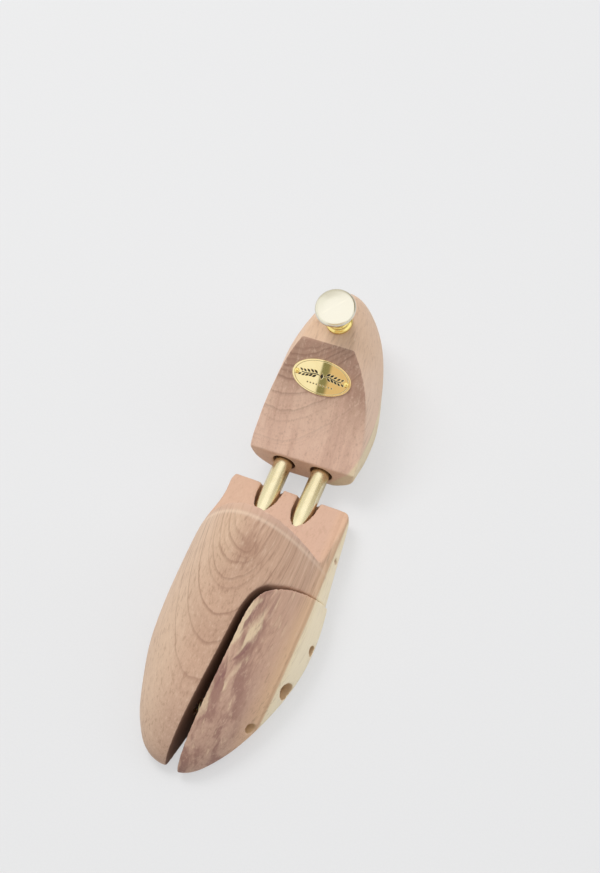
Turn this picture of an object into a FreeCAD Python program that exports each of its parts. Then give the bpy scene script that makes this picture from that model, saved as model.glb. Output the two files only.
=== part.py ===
import FreeCAD, Part
import math
import os

# Spring-loaded cedar shoe tree for a left shoe, millimetres.
# Exported frame: +Z up from the flat sole, toe towards -Y, heel towards +Y,
# little-toe (lateral) side on +X. The origin is the point of the sole plane
# midway between the tubes, under the ball of the forepart.
# Everything is modelled in a tube frame (origin midway between the tube axes,
# in the plane of the heel block's front face) and moved once at export.

V = FreeCAD.Vector
X_AXIS, Y_AXIS, Z_AXIS = V(1, 0, 0), V(0, 1, 0), V(0, 0, 1)

# ------------------------------------------------------- shared dimensions
TUBE_AXIS_Z = 14.0            # tube axis above the sole plane
BALL_TO_HEEL_FRONT = 90.0     # exported origin to the heel block's front face
SOLE_Z = -TUBE_AXIS_Z

TUBE_R = 5.0
TUBE_WALL = 0.8
TUBE_SPACING = 21.3           # centre to centre
TUBE_XS = (-TUBE_SPACING / 2, TUBE_SPACING / 2)
TUBE_TOE_END = -62.0
TUBE_HEEL_END = 36.0

CROSS_PIN_R = 1.6
TOE_PIN_Y = -46.0
TOE_PIN_XS = (-24.0, 30.0)
HEEL_PIN_Y = 26.0
HEEL_PIN_XS = (-25.0, 25.0)
CROSS_DRILL_LENGTH = 90.0     # runs out through the little-toe side


# ----------------------------------------------------------------- helpers
def placed(point, axis):
    """Placement that puts local Z along axis, starting at point."""
    return FreeCAD.Placement(point, FreeCAD.Rotation(Z_AXIS, axis))


def half_space(point, normal):
    """Large box on the side of the plane that normal points to."""
    size = 400.0
    box = Part.makeBox(size, size, size, V(-size / 2, -size / 2, 0))
    box.Placement = placed(point, normal)
    return box


def largest_solid(shape):
    return max(shape.Solids, key=lambda solid: solid.Volume)


def turned(profile, point, axis):
    """Closed (radius, height) profile revolved about axis."""
    points = [V(radius, 0, height) for radius, height in profile]
    face = Part.Face(Part.makePolygon(points + [points[0]]))
    solid = face.revolve(V(0, 0, 0), Z_AXIS, 360)
    solid.Placement = placed(point, axis)
    return solid


def helix_spring(coil_r, wire_r, turns, length, point, axis):
    """Round-wire spring; its centre line starts and ends a wire radius inside."""
    run = length - 2 * wire_r
    helix = Part.makeHelix(run / turns, run, coil_r)
    profile = Part.Wire([Part.makeCircle(wire_r, V(coil_r, 0, 0), Y_AXIS)])
    spring = Part.Wire(helix).makePipeShell([profile], True, True)
    spring.translate(V(0, 0, wire_r))
    spring.Placement = placed(point, axis).multiply(spring.Placement)
    return spring


def cross_hole(x_start, y):
    """Blind hole from inside the medial side, out through the little-toe side."""
    return Part.makeCylinder(CROSS_PIN_R, CROSS_DRILL_LENGTH, V(x_start, y, 0), X_AXIS)


def cross_pin(x_start, x_end, y):
    chamfer = 0.4
    length = x_end - x_start
    profile = [(0, 0), (CROSS_PIN_R - chamfer, 0), (CROSS_PIN_R, chamfer),
               (CROSS_PIN_R, length - chamfer), (CROSS_PIN_R - chamfer, length), (0, length)]
    return turned(profile, V(x_start, y, 0), X_AXIS)


# ---------------------------------------------------------- forepart blank
# Cross-sections of block and wing in one piece, from the toe backwards:
# y, medial x, lateral x, ridge x, top z, sole z, widest z,
# medial and lateral shoulder powers (1.0 is elliptical, more is straighter)
FORE_STATIONS = [
    (-177.9, -5.6, -3.0, -4.6, -8.0, -9.6, -8.8, 1.0, 1.0),
    (-177.5, -8.6, 0.2, -4.5, -6.2, -10.0, -8.3, 1.0, 1.0),
    (-176.4, -12.0, 3.2, -4.4, -3.9, -10.4, -7.8, 1.0, 1.0),
    (-174.3, -15.6, 6.8, -4.3, -0.9, -10.9, -7.2, 1.0, 1.0),
    (-171.0, -19.2, 10.6, -4.2, 2.3, -11.4, -6.6, 1.0, 1.02),
    (-166.0, -22.6, 15.2, -4.2, 6.2, -12.1, -5.9, 1.0, 1.04),
    (-158.0, -26.7, 21.2, -4.3, 11.2, -12.9, -5.0, 1.02, 1.08),
    (-148.0, -30.1, 27.0, -4.4, 16.0, -13.6, -4.0, 1.06, 1.15),
    (-136.0, -33.3, 32.7, -4.4, 20.9, -14.0, -3.0, 1.12, 1.24),
    (-124.0, -36.0, 37.3, -4.3, 25.6, -14.0, -2.2, 1.18, 1.34),
    (-112.0, -37.4, 40.5, -4.2, 30.6, -14.0, -1.6, 1.24, 1.43),
    (-98.0, -38.1, 42.2, -3.9, 36.5, -14.0, -1.2, 1.31, 1.52),
    (-84.0, -38.2, 42.2, -3.5, 42.4, -14.0, -1.0, 1.38, 1.61),
    (-70.0, -38.0, 40.9, -3.1, 47.4, -14.0, -1.0, 1.45, 1.70),
    (-58.0, -37.5, 39.4, -3.0, 50.0, -14.0, -1.0, 1.50, 1.76),
    (-48.0, -36.0, 38.2, -3.0, 50.6, -14.0, -1.0, 1.50, 1.76),
    (-38.0, -33.9, 37.1, -3.0, 49.0, -14.0, -1.0, 1.45, 1.70),
    (-26.0, -32.9, 35.6, -3.0, 45.0, -14.0, -1.0, 1.35, 1.60),
    (-14.0, -32.4, 33.6, -3.0, 41.0, -14.0, -1.0, 1.25, 1.50),
]
UPPER_STEPS = 9               # points in each quarter above the widest line
LOWER_STEPS = 8               # and in each quarter below it
BILGE_POWER = 2.0 / 3.0       # flat sole with well rounded edges
SOLE_ALLOWANCE = 0.2          # taken off when the sole is planed flat

TAIL_Y = -15.3                # tail end; this much tube shows before the heel block
TAIL_SKEW = math.radians(2.0)     # the tail is not quite square to the tubes
TAIL_HALF_WIDTH = 34.0
TAIL_CORNER_R = 3.2           # corner on the little-toe side
TAIL_CORNER_FACETS = (22.5, 45.0, 67.5)   # degrees from +X

SHELF_ANGLE = math.radians(19.5)  # tail shelf rises towards the instep
SHELF_ROLL = math.radians(1.7)    # and falls a little to the little-toe side
SHELF_TAIL_Z = -0.15          # shelf height at the tail end, on the centre line
INSTEP_WALL_Y = -55.7         # foot of the steep face behind the instep
INSTEP_WALL_Z = 13.6
INSTEP_WALL_LEAN = math.radians(5.0)   # the face leans back over the shelf
INSTEP_FILLET = 4.0           # inside corner between shelf and steep face


def fore_wire(station):
    (y, medial_x, lateral_x, ridge_x, top_z, bottom_z, widest_z,
     medial_power, lateral_power) = station
    middle_x = 0.5 * (medial_x + lateral_x)

    def quarter(centre_x, side_x, end_z, cos_power, sin_power, fractions):
        points = []
        for fraction in fractions:
            angle = fraction * math.pi / 2
            points.append(V(centre_x + (side_x - centre_x) * math.cos(angle) ** cos_power, y,
                            widest_z + (end_z - widest_z) * math.sin(angle) ** sin_power))
        return points

    def inward(steps):
        return [i / steps for i in range(steps)]

    def outward(steps):
        return [1 - i / steps for i in range(steps)]

    points = (
        quarter(ridge_x, lateral_x, top_z, 1.0, lateral_power, inward(UPPER_STEPS))
        + quarter(ridge_x, medial_x, top_z, 1.0, medial_power, outward(UPPER_STEPS))
        + quarter(middle_x, medial_x, bottom_z, BILGE_POWER, BILGE_POWER, inward(LOWER_STEPS))
        + quarter(middle_x, lateral_x, bottom_z, BILGE_POWER, BILGE_POWER,
                  outward(LOWER_STEPS)))
    curve = Part.BSplineCurve()
    curve.interpolate(Points=points, PeriodicFlag=True)
    return Part.Wire([curve.toShape()])


def instep_notch():
    """Space above the tail shelf and behind the steep face."""
    above_shelf = half_space(V(0, TAIL_Y, SHELF_TAIL_Z),
                             V(math.tan(SHELF_ROLL), math.tan(SHELF_ANGLE), 1.0))
    behind_wall = half_space(V(0, INSTEP_WALL_Y, INSTEP_WALL_Z),
                             V(0, math.cos(INSTEP_WALL_LEAN), -math.sin(INSTEP_WALL_LEAN)))
    notch = above_shelf.common(behind_wall)
    foot = [edge for edge in notch.Edges
            if abs(edge.CenterOfMass.y - INSTEP_WALL_Y) < 0.5
            and abs(edge.CenterOfMass.z - INSTEP_WALL_Z) < 1.5
            and edge.Length > 150]
    return notch.makeFillet(INSTEP_FILLET, foot)


def fore_blank():
    blank = Part.makeLoft([fore_wire(station) for station in FORE_STATIONS], True, False)
    blank.translate(V(0, 0, -SOLE_ALLOWANCE))
    blank = largest_solid(blank.cut(half_space(V(0, 0, SOLE_Z), V(0, 0, -1))))
    blank = blank.cut(instep_notch())
    tail_normal = V(math.sin(TAIL_SKEW), math.cos(TAIL_SKEW), 0)
    blank = largest_solid(blank.cut(half_space(V(0, TAIL_Y, 0), tail_normal)))
    # tail corner rounded with three flats
    corner = V(TAIL_HALF_WIDTH - TAIL_CORNER_R,
               TAIL_Y - TAIL_HALF_WIDTH * math.tan(TAIL_SKEW) - TAIL_CORNER_R, 0)
    for degrees in TAIL_CORNER_FACETS:
        angle = math.radians(degrees)
        normal = V(math.cos(angle), math.sin(angle), 0)
        blank = largest_solid(blank.cut(half_space(corner + normal * TAIL_CORNER_R, normal)))
    return blank


# ------------------------------------------------- forepart block and wing
# Centre line (x, y) of the saw cut that frees the wing, from beyond the toe
# backwards, then swinging out to the little-toe side
SAW_CUT = [
    (-5.4, -188.0), (-3.4, -176.0), (-1.2, -163.0), (1.1, -149.8), (3.4, -136.4),
    (5.8, -122.8), (7.9, -110.6), (9.6, -101.4), (12.1, -93.9), (14.7, -89.4),
    (17.7, -86.2), (21.3, -83.3), (25.3, -80.6), (29.4, -78.2), (33.4, -75.9),
    (37.4, -73.7), (42.0, -71.2), (50.0, -66.9),
]
KERF = 0.7                    # width of the saw cut
SPLAY_DEGREES = 2.5           # wing opening at rest
SPLAY_CENTRE = V(30.0, -45.0, 0)   # on the vertical line the wing swings about

TAIL_BORE_R = 6.5             # wide bore that breaks out of the tail as a notch
TAIL_BORE_TOE_END = -38.0
TUBE_BORE_LENGTH = 60.0       # long enough to clear the tail

# Wing pins and springs lie on lines leaning from square to the tubes.
# Depths run inwards from a mouth on the wing's outer side.
WING_PIN_TILT = math.radians(4.0)
WING_INWARD = V(-math.cos(WING_PIN_TILT), math.sin(WING_PIN_TILT), 0)
WING_Z = -1.2
# name, mouth, head outer face, pocket start, pocket end in the block, pin point
WING_PINS = [
    ("front", V(31.2, -147.7, WING_Z), 3.6, 14.6, 37.8, 46.0),
    ("rear", V(44.4, -97.5, WING_Z), 4.0, 20.6, 42.6, 52.5),
]
PIN_R = 1.3
PIN_BORE_R = 2.1
PIN_HEAD_R = 2.1
PIN_HEAD_T = 1.6
PIN_HEAD_CHAMFER = 0.5
PIN_POINT_LENGTH = 2.0
SINK_R = 2.8                  # counterbore for the pin head
SINK_CLEARANCE = 0.05
POCKET_R = 4.5
MOUTH_OVERRUN = 6.0           # cutters start this far outside the mouth
WING_SPRING_END_GAP = 0.1

MAIN_MOUTH = V(40.3, -122.9, WING_Z)
MAIN_BORE_R = 4.6
DOWEL_START, DOWEL_END = 3.6, 12.0
DOWEL_FILLET = 0.4
MAIN_SPRING_END = 47.0


def wing_side(offset):
    """Everything on the wing's side of the saw cut, moved square to the cut."""
    bottom_z, height, far_x = -60, 160, 120
    points = []
    for i, (x, y) in enumerate(SAW_CUT):
        before = SAW_CUT[max(0, i - 1)]
        after = SAW_CUT[min(len(SAW_CUT) - 1, i + 1)]
        run_x, run_y = after[0] - before[0], after[1] - before[1]
        run = math.hypot(run_x, run_y)
        points.append(V(x + run_y / run * offset, y - run_x / run * offset, bottom_z))
    curve = Part.BSplineCurve()
    curve.interpolate(Points=points)
    toe, tail = points[0], points[-1]
    far_tail, far_toe = V(far_x, tail.y, bottom_z), V(far_x, toe.y, bottom_z)
    outline = Part.Wire([curve.toShape(), Part.makeLine(tail, far_tail),
                         Part.makeLine(far_tail, far_toe), Part.makeLine(far_toe, toe)])
    return Part.Face(outline).extrude(V(0, 0, height))


def wing_rod(mouth, start, end, radius):
    return Part.makeCylinder(radius, end - start, mouth + WING_INWARD * start, WING_INWARD)


def forepart_block(blank):
    block = largest_solid(blank.cut(wing_side(-KERF / 2)))
    for x in TUBE_XS:
        for toe_end, radius in ((TAIL_BORE_TOE_END, TAIL_BORE_R), (TUBE_TOE_END, TUBE_R)):
            block = block.cut(Part.makeCylinder(radius, TUBE_BORE_LENGTH,
                                                V(x, toe_end, 0), Y_AXIS))
    block = block.cut(cross_hole(TOE_PIN_XS[0], TOE_PIN_Y))
    # cutters start inside the wing or pocket so they overlap it
    for _, mouth, _, pocket_start, pocket_end, point in WING_PINS:
        block = block.cut(wing_rod(mouth, pocket_start + 4, pocket_end, POCKET_R))
        block = block.cut(wing_rod(mouth, pocket_end - 1, point, PIN_R))
    block = block.cut(wing_rod(MAIN_MOUTH, 20, MAIN_SPRING_END, MAIN_BORE_R))
    return largest_solid(block)


def toe_wing(blank):
    wing = largest_solid(blank.common(wing_side(KERF / 2)))
    wing.rotate(SPLAY_CENTRE, Z_AXIS, SPLAY_DEGREES)
    for _, mouth, head, pocket_start, _, _ in WING_PINS:
        sink = head + PIN_HEAD_T + SINK_CLEARANCE
        wing = wing.cut(wing_rod(mouth, -MOUTH_OVERRUN, sink, SINK_R))
        wing = wing.cut(wing_rod(mouth, sink - 0.5, pocket_start + 0.5, PIN_BORE_R))
        wing = wing.cut(wing_rod(mouth, pocket_start, pocket_start + 20, POCKET_R))
    wing = wing.cut(wing_rod(MAIN_MOUTH, -MOUTH_OVERRUN, 40, MAIN_BORE_R))
    return largest_solid(wing)


def wing_dowel():
    dowel = wing_rod(MAIN_MOUTH, DOWEL_START, DOWEL_END, MAIN_BORE_R)
    return dowel.makeFillet(DOWEL_FILLET, dowel.Edges)


def wing_pin(mouth, head, point):
    length = point - head
    profile = [(0, 0), (PIN_HEAD_R - PIN_HEAD_CHAMFER, 0), (PIN_HEAD_R, PIN_HEAD_CHAMFER),
               (PIN_HEAD_R, PIN_HEAD_T), (PIN_R, PIN_HEAD_T),
               (PIN_R, length - PIN_POINT_LENGTH), (0, length)]
    return turned(profile, mouth + WING_INWARD * head, WING_INWARD)


def wing_spring(mouth, start, end, coil_r, wire_r, turns):
    return helix_spring(coil_r, wire_r, turns, end - start - 2 * WING_SPRING_END_GAP,
                        mouth + WING_INWARD * (start + WING_SPRING_END_GAP), WING_INWARD)


# -------------------------------------------------------------- heel block
# Horizontal slices: z, half width at y=0, widest half width, its y,
# rear end y, fullness of the rear
HEEL_SLICES = [
    (-14.0, 4.3, 21.8, 33.5, 80.8, 1.90),
    (-13.2, 7.6, 23.7, 32.4, 84.3, 1.92),
    (-11.2, 12.2, 25.6, 31.3, 88.2, 1.95),
    (-8.0, 18.6, 27.1, 29.0, 91.7, 1.96),
    (-3.0, 25.6, 28.6, 24.7, 94.9, 1.96),
    (4.0, 29.3, 29.9, 21.3, 96.5, 1.96),
    (12.0, 29.9, 30.4, 19.7, 96.4, 1.96),
    (20.0, 28.2, 29.4, 19.3, 95.3, 1.96),
    (28.0, 25.6, 27.4, 19.8, 93.5, 1.96),
    (36.0, 22.5, 24.6, 21.2, 90.6, 1.96),
    (43.0, 18.6, 20.8, 24.0, 87.0, 1.96),
    (48.0, 14.0, 16.6, 28.6, 83.7, 1.96),
    (52.0, 9.8, 12.8, 35.0, 79.5, 1.94),
    (55.0, 5.3, 8.3, 41.9, 73.9, 1.90),
]
# The heel follows the foot: y, sideways shift of its centre line
HEEL_BEND = [
    (-14.0, 0.4), (0.0, 0.5), (15.0, 1.35), (30.0, 1.2),
    (42.0, 0.05), (52.0, -1.25), (70.0, -2.3), (100.0, -3.3),
]
FRONT_STEPS, REAR_STEPS = 7, 14    # outline points ahead of and behind the widest
BLANK_OVERRUN = 12.0          # blank runs on past the front face
OVERRUN_TAPER = 0.4           # and is this much narrower there, each side

FACET_ANGLE = math.radians(38.5)   # flat inclined top of the heel block
FACET_START = V(0, 0, 8.4)    # on its front edge
FACET_LENGTH = 64.0
PLATEAU_ANGLE = math.radians(8.6)  # knob plateau
TOE_LIFT = 5.0                # sole curves up this much to the front edge
TOE_LIFT_RUN = 25.0           # over this length

BORE_MOUTH_R = 6.3            # wide mouth of each bore
BORE_MOUTH_DEPTH = 8.0
BORE_GUIDE_R = TUBE_R + 0.075      # running clearance
BORE_GUIDE_DEPTH = 54.0
FRONT_OVERRUN = 5.0           # cutters start this far outside the front face


def up_slope(angle):
    return V(0, math.cos(angle), math.sin(angle))


def square_to_slope(angle):
    return V(0, -math.sin(angle), math.cos(angle))


FACET_NORMAL = square_to_slope(FACET_ANGLE)
PLATEAU_START = FACET_START + up_slope(FACET_ANGLE) * FACET_LENGTH

KNOB_AXIS = square_to_slope(PLATEAU_ANGLE)
KNOB_SEAT = PLATEAU_START + up_slope(PLATEAU_ANGLE) * 14.1
KNOB_BASE_R = 7.2
KNOB_BASE_H = 3.6
KNOB_R = 10.85
KNOB_H = 20.4
SCREW_R = 2.2
SCREW_DEPTH = 22.0            # below the plateau
SCREW_RISE = 11.0             # above it
SCREW_POINT_LENGTH = 3.5

PLATE_HALF_LENGTH, PLATE_HALF_HEIGHT, PLATE_T = 16.5, 9.4, 0.9
PLATE_FILLET = 0.3
PLATE_CENTRE = FACET_START + up_slope(FACET_ANGLE) * 46.3
PLATE_PLACEMENT = FreeCAD.Placement(
    PLATE_CENTRE, FreeCAD.Rotation(X_AXIS, math.degrees(FACET_ANGLE)))
PLATE_PIN_XS = (-14.0, 14.0)
PLATE_PIN_R = 0.6


def heel_shift(y):
    """Smooth curve through HEEL_BEND, free of overshoot."""
    steps = [after[0] - before[0] for before, after in zip(HEEL_BEND, HEEL_BEND[1:])]
    grades = [(after[1] - before[1]) / step
              for before, after, step in zip(HEEL_BEND, HEEL_BEND[1:], steps)]
    slopes = [grades[0]]
    for i in range(1, len(grades)):
        if grades[i - 1] * grades[i] <= 0:
            slopes.append(0.0)
            continue
        # weighted harmonic mean of the neighbouring grades
        weight_before = 2 * steps[i] + steps[i - 1]
        weight_after = steps[i] + 2 * steps[i - 1]
        slopes.append((weight_before + weight_after)
                      / (weight_before / grades[i - 1] + weight_after / grades[i]))
    slopes.append(grades[-1])

    i = 0
    while y > HEEL_BEND[i + 1][0]:
        i += 1
    t = (y - HEEL_BEND[i][0]) / steps[i]
    return ((2 * t**3 - 3 * t**2 + 1) * HEEL_BEND[i][1]
            + (t**3 - 2 * t**2 + t) * slopes[i] * steps[i]
            + (-2 * t**3 + 3 * t**2) * HEEL_BEND[i + 1][1]
            + (t**3 - t**2) * slopes[i + 1] * steps[i])


def heel_wire(heel_slice):
    z, front_half, widest_half, widest_y, rear_y, fullness = heel_slice
    side = [(front_half - OVERRUN_TAPER, -BLANK_OVERRUN)]
    for i in range(FRONT_STEPS):
        y = widest_y * i / FRONT_STEPS
        t = (widest_y - y) / widest_y
        side.append((widest_half - (widest_half - front_half) * t * t, y))
    for i in range(REAR_STEPS):
        angle = i / REAR_STEPS * math.pi / 2
        side.append((widest_half * math.cos(angle) ** (2 / fullness),
                     widest_y + (rear_y - widest_y) * math.sin(angle) ** (2 / fullness)))
    lateral = [V(x + heel_shift(y), y, z) for x, y in side]
    medial = [V(-x + heel_shift(y), y, z) for x, y in reversed(side)]
    curve = Part.BSplineCurve()
    curve.interpolate(Points=lateral + [V(heel_shift(rear_y), rear_y, z)] + medial)
    return Part.Wire([curve.toShape(), Part.makeLine(medial[-1], lateral[0])])


def toe_lift_cutter():
    """Material under the arc that lifts the sole at the front edge."""
    width = 120
    radius = (TOE_LIFT_RUN ** 2 + TOE_LIFT ** 2) / (2 * TOE_LIFT)
    cutter = Part.makeBox(width, TOE_LIFT_RUN + FRONT_OVERRUN, 40,
                          V(-width / 2, -FRONT_OVERRUN, SOLE_Z - 20))
    return cutter.cut(Part.makeCylinder(
        radius, width, V(-width / 2, TOE_LIFT_RUN, SOLE_Z + radius), X_AXIS))


def heel_block():
    heel = Part.makeLoft([heel_wire(row) for row in HEEL_SLICES], True, False)
    heel = heel.cut(half_space(V(0, 0, 0), V(0, -1, 0)))
    heel = heel.cut(half_space(FACET_START, FACET_NORMAL))
    heel = heel.cut(half_space(PLATEAU_START, KNOB_AXIS))
    heel = largest_solid(heel.cut(toe_lift_cutter()))
    for x in TUBE_XS:
        for radius, depth in ((BORE_MOUTH_R, BORE_MOUTH_DEPTH),
                              (BORE_GUIDE_R, BORE_GUIDE_DEPTH)):
            heel = heel.cut(Part.makeCylinder(radius, FRONT_OVERRUN + depth,
                                              V(x, -FRONT_OVERRUN, 0), Y_AXIS))
    heel = heel.cut(cross_hole(HEEL_PIN_XS[0], HEEL_PIN_Y))
    heel = heel.cut(Part.makeCylinder(SCREW_R, SCREW_DEPTH + 5,
                                      KNOB_SEAT - KNOB_AXIS * SCREW_DEPTH, KNOB_AXIS))
    for x in PLATE_PIN_XS:
        start = PLATE_PLACEMENT.multVec(V(x, 0, 0)) + FACET_NORMAL * 2
        heel = heel.cut(Part.makeCylinder(PLATE_PIN_R, 9.5, start, FACET_NORMAL * -1))
    return largest_solid(heel)


def knob_base():
    rim = KNOB_BASE_R
    return turned([
        (SCREW_R, 0), (rim, 0), (rim, 0.9), (rim - 0.35, 1.5), (rim - 1.2, 1.9),
        (rim - 1.5, 2.3), (rim - 1.7, 3.1), (rim - 2.3, KNOB_BASE_H),
        (SCREW_R, KNOB_BASE_H)], KNOB_SEAT, KNOB_AXIS)


def knob_head():
    """Waisted stem under a domed cap, bored for the screw."""
    rim = KNOB_R
    return turned([
        (SCREW_R, KNOB_BASE_H), (4.6, KNOB_BASE_H), (4.6, 4.4), (3.5, 5.2), (3.05, 6.6),
        (3.0, 8.2), (3.3, 9.8), (4.2, 11.6), (5.8, 13.3), (7.8, 14.6), (9.7, 15.5),
        (rim - 0.25, 16.1), (rim, 16.7), (rim - 0.05, 17.4), (rim - 0.5, 18.0),
        (rim - 1.8, 18.7), (rim - 4.0, 19.5), (rim - 7.0, 20.1), (rim - 9.4, KNOB_H - 0.02),
        (0, KNOB_H), (0, SCREW_RISE), (SCREW_R, SCREW_RISE)], KNOB_SEAT, KNOB_AXIS)


def knob_screw():
    return turned([
        (0, -SCREW_DEPTH), (SCREW_R, -SCREW_DEPTH + SCREW_POINT_LENGTH),
        (SCREW_R, SCREW_RISE), (0, SCREW_RISE)], KNOB_SEAT, KNOB_AXIS)


def nameplate():
    outline = Part.Ellipse(V(0, 0, 0), PLATE_HALF_LENGTH, PLATE_HALF_HEIGHT)
    plate = Part.Face(Part.Wire([outline.toShape()])).extrude(V(0, 0, PLATE_T))
    top_edges = [edge for edge in plate.Edges if edge.BoundBox.ZMin > PLATE_T - 0.01]
    plate = plate.makeFillet(PLATE_FILLET, top_edges)
    for x in PLATE_PIN_XS:
        plate = plate.cut(Part.makeCylinder(PLATE_PIN_R, 3, V(x, 0, -1)))
    plate.Placement = PLATE_PLACEMENT
    return plate


def nameplate_pins():
    """Two round-head pins, heads resting on the plate."""
    profile = [(0, -7.5), (PLATE_PIN_R, -6.3), (PLATE_PIN_R, PLATE_T), (1.45, PLATE_T),
               (1.4, PLATE_T + 0.3), (1.15, PLATE_T + 0.62), (0.7, PLATE_T + 0.85),
               (0, PLATE_T + 0.95)]
    pins = Part.makeCompound([turned(profile, V(x, 0, 0), Z_AXIS) for x in PLATE_PIN_XS])
    pins.Placement = PLATE_PLACEMENT
    return pins


# ------------------------------------------------------- tubes and springs
TUBE_INNER_R = TUBE_R - TUBE_WALL
HEEL_TRAVEL = 13.6            # heel block closes this far towards the forepart
SLOT_R = 1.7
SLOT_YS = (HEEL_PIN_Y - HEEL_TRAVEL - 0.2, HEEL_PIN_Y + 0.1)   # end centres
CROSS_CUT = 16.0              # cutter length across one tube
SEAT_Y = TOE_PIN_Y + CROSS_PIN_R   # seat rests on the heel side of the toe pin
SEAT_SHOULDER = 6.0
FOLLOWER_LENGTH = 7.0
FOLLOWER_SHOULDER = 2.0
FOLLOWER_R = TUBE_INNER_R - 0.1
FOLLOWER_Y = HEEL_PIN_Y - CROSS_PIN_R - 0.05 - FOLLOWER_LENGTH
SPIGOT_R = 2.6                # enters the spring
TUBE_SPRING_GAP = 0.05


def across_tube(x, y, radius):
    return Part.makeCylinder(radius, CROSS_CUT, V(x - CROSS_CUT / 2, y, 0), X_AXIS)


def tube(x):
    body = Part.makeCylinder(TUBE_R, TUBE_HEEL_END - TUBE_TOE_END,
                             V(x, TUBE_TOE_END, 0), Y_AXIS)
    body = body.cut(Part.makeCylinder(TUBE_INNER_R, 120, V(x, TUBE_TOE_END - 1, 0), Y_AXIS))
    body = body.cut(across_tube(x, TOE_PIN_Y, CROSS_PIN_R))
    slot = Part.makeBox(CROSS_CUT, SLOT_YS[1] - SLOT_YS[0], 2 * SLOT_R,
                        V(x - CROSS_CUT / 2, SLOT_YS[0], -SLOT_R))
    for y in SLOT_YS:
        slot = slot.fuse(across_tube(x, y, SLOT_R))
    return largest_solid(body.cut(slot))


def spring_seat(x):
    return turned([
        (0, 0), (TUBE_INNER_R, 0), (TUBE_INNER_R, SEAT_SHOULDER), (SPIGOT_R, SEAT_SHOULDER),
        (SPIGOT_R, 8.2), (1.8, 9.0), (0, 9.0)], V(x, SEAT_Y, 0), Y_AXIS)


def spring_follower(x):
    return turned([
        (0, FOLLOWER_LENGTH), (FOLLOWER_R, FOLLOWER_LENGTH), (FOLLOWER_R, FOLLOWER_SHOULDER),
        (SPIGOT_R, FOLLOWER_SHOULDER), (SPIGOT_R, 0.6), (2.0, 0), (0, 0)],
        V(x, FOLLOWER_Y, 0), Y_AXIS)


def tube_spring(x):
    start = SEAT_Y + SEAT_SHOULDER + TUBE_SPRING_GAP
    end = FOLLOWER_Y + FOLLOWER_SHOULDER - TUBE_SPRING_GAP
    return helix_spring(coil_r=3.45, wire_r=0.55, turns=20, length=end - start,
                        point=V(x, start, 0), axis=Y_AXIS)


# ------------------------------------------------------- assembly and export
blank = fore_blank()
parts = {
    "forepart_block": forepart_block(blank),
    "toe_wing": toe_wing(blank),
    "wing_dowel": wing_dowel(),
    "wing_main_spring": wing_spring(MAIN_MOUTH, DOWEL_END, MAIN_SPRING_END,
                                    coil_r=3.85, wire_r=0.45, turns=13),
    "heel_block": heel_block(),
    "knob_base": knob_base(),
    "knob_head": knob_head(),
    "knob_screw": knob_screw(),
    "nameplate": nameplate(),
    "nameplate_pins": nameplate_pins(),
    "toe_cross_pin": cross_pin(*TOE_PIN_XS, TOE_PIN_Y),
    "heel_cross_pin": cross_pin(*HEEL_PIN_XS, HEEL_PIN_Y),
}
for name, mouth, head, pocket_start, pocket_end, point in WING_PINS:
    parts[f"wing_{name}_pin"] = wing_pin(mouth, head, point)
    parts[f"wing_{name}_spring"] = wing_spring(mouth, pocket_start, pocket_end,
                                               coil_r=3.4, wire_r=0.5, turns=7)
for name, x in zip(("left", "right"), TUBE_XS):
    parts[f"{name}_tube"] = tube(x)
    parts[f"{name}_spring_seat"] = spring_seat(x)
    parts[f"{name}_spring_follower"] = spring_follower(x)
    parts[f"{name}_tube_spring"] = tube_spring(x)

os.makedirs("parts", exist_ok=True)
for name, shape in parts.items():
    shape.translate(V(0, BALL_TO_HEEL_FRONT, TUBE_AXIS_Z))
    shape.exportStep(f"parts/{name}.step")
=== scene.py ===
import bpy
import bmesh
import math
import numpy as np
from mathutils import Vector, Matrix


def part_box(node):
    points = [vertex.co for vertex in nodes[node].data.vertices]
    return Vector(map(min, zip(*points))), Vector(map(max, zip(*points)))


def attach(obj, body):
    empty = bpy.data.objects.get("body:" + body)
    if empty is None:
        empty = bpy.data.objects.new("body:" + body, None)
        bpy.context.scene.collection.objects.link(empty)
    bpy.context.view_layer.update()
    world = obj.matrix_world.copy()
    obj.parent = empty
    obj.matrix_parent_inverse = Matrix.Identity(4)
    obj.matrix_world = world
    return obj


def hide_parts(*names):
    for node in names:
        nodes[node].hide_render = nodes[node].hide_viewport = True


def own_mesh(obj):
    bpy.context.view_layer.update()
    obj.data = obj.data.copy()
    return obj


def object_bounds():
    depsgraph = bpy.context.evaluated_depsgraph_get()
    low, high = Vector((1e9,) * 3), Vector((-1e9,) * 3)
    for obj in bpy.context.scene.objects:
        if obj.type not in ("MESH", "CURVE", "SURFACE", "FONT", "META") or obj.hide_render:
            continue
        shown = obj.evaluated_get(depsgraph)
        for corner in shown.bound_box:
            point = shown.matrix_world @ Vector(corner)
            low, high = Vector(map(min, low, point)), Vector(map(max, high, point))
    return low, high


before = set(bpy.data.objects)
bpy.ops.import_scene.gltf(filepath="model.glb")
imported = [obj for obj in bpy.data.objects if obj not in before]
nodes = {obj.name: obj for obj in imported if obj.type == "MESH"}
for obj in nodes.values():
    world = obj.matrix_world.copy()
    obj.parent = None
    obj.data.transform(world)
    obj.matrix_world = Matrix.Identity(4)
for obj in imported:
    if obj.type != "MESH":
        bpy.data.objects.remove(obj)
cad_lo, cad_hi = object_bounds()
scene = bpy.context.scene

MM = 0.001
# the working frame of the design: tube axes in the plane z = 0, heel face at y = 0
OFF = np.array([0.0, 90.0, 14.0])


def rf(p):
    """working frame, mm -> row frame, m"""
    return (np.asarray(p, float) + OFF) * MM


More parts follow.
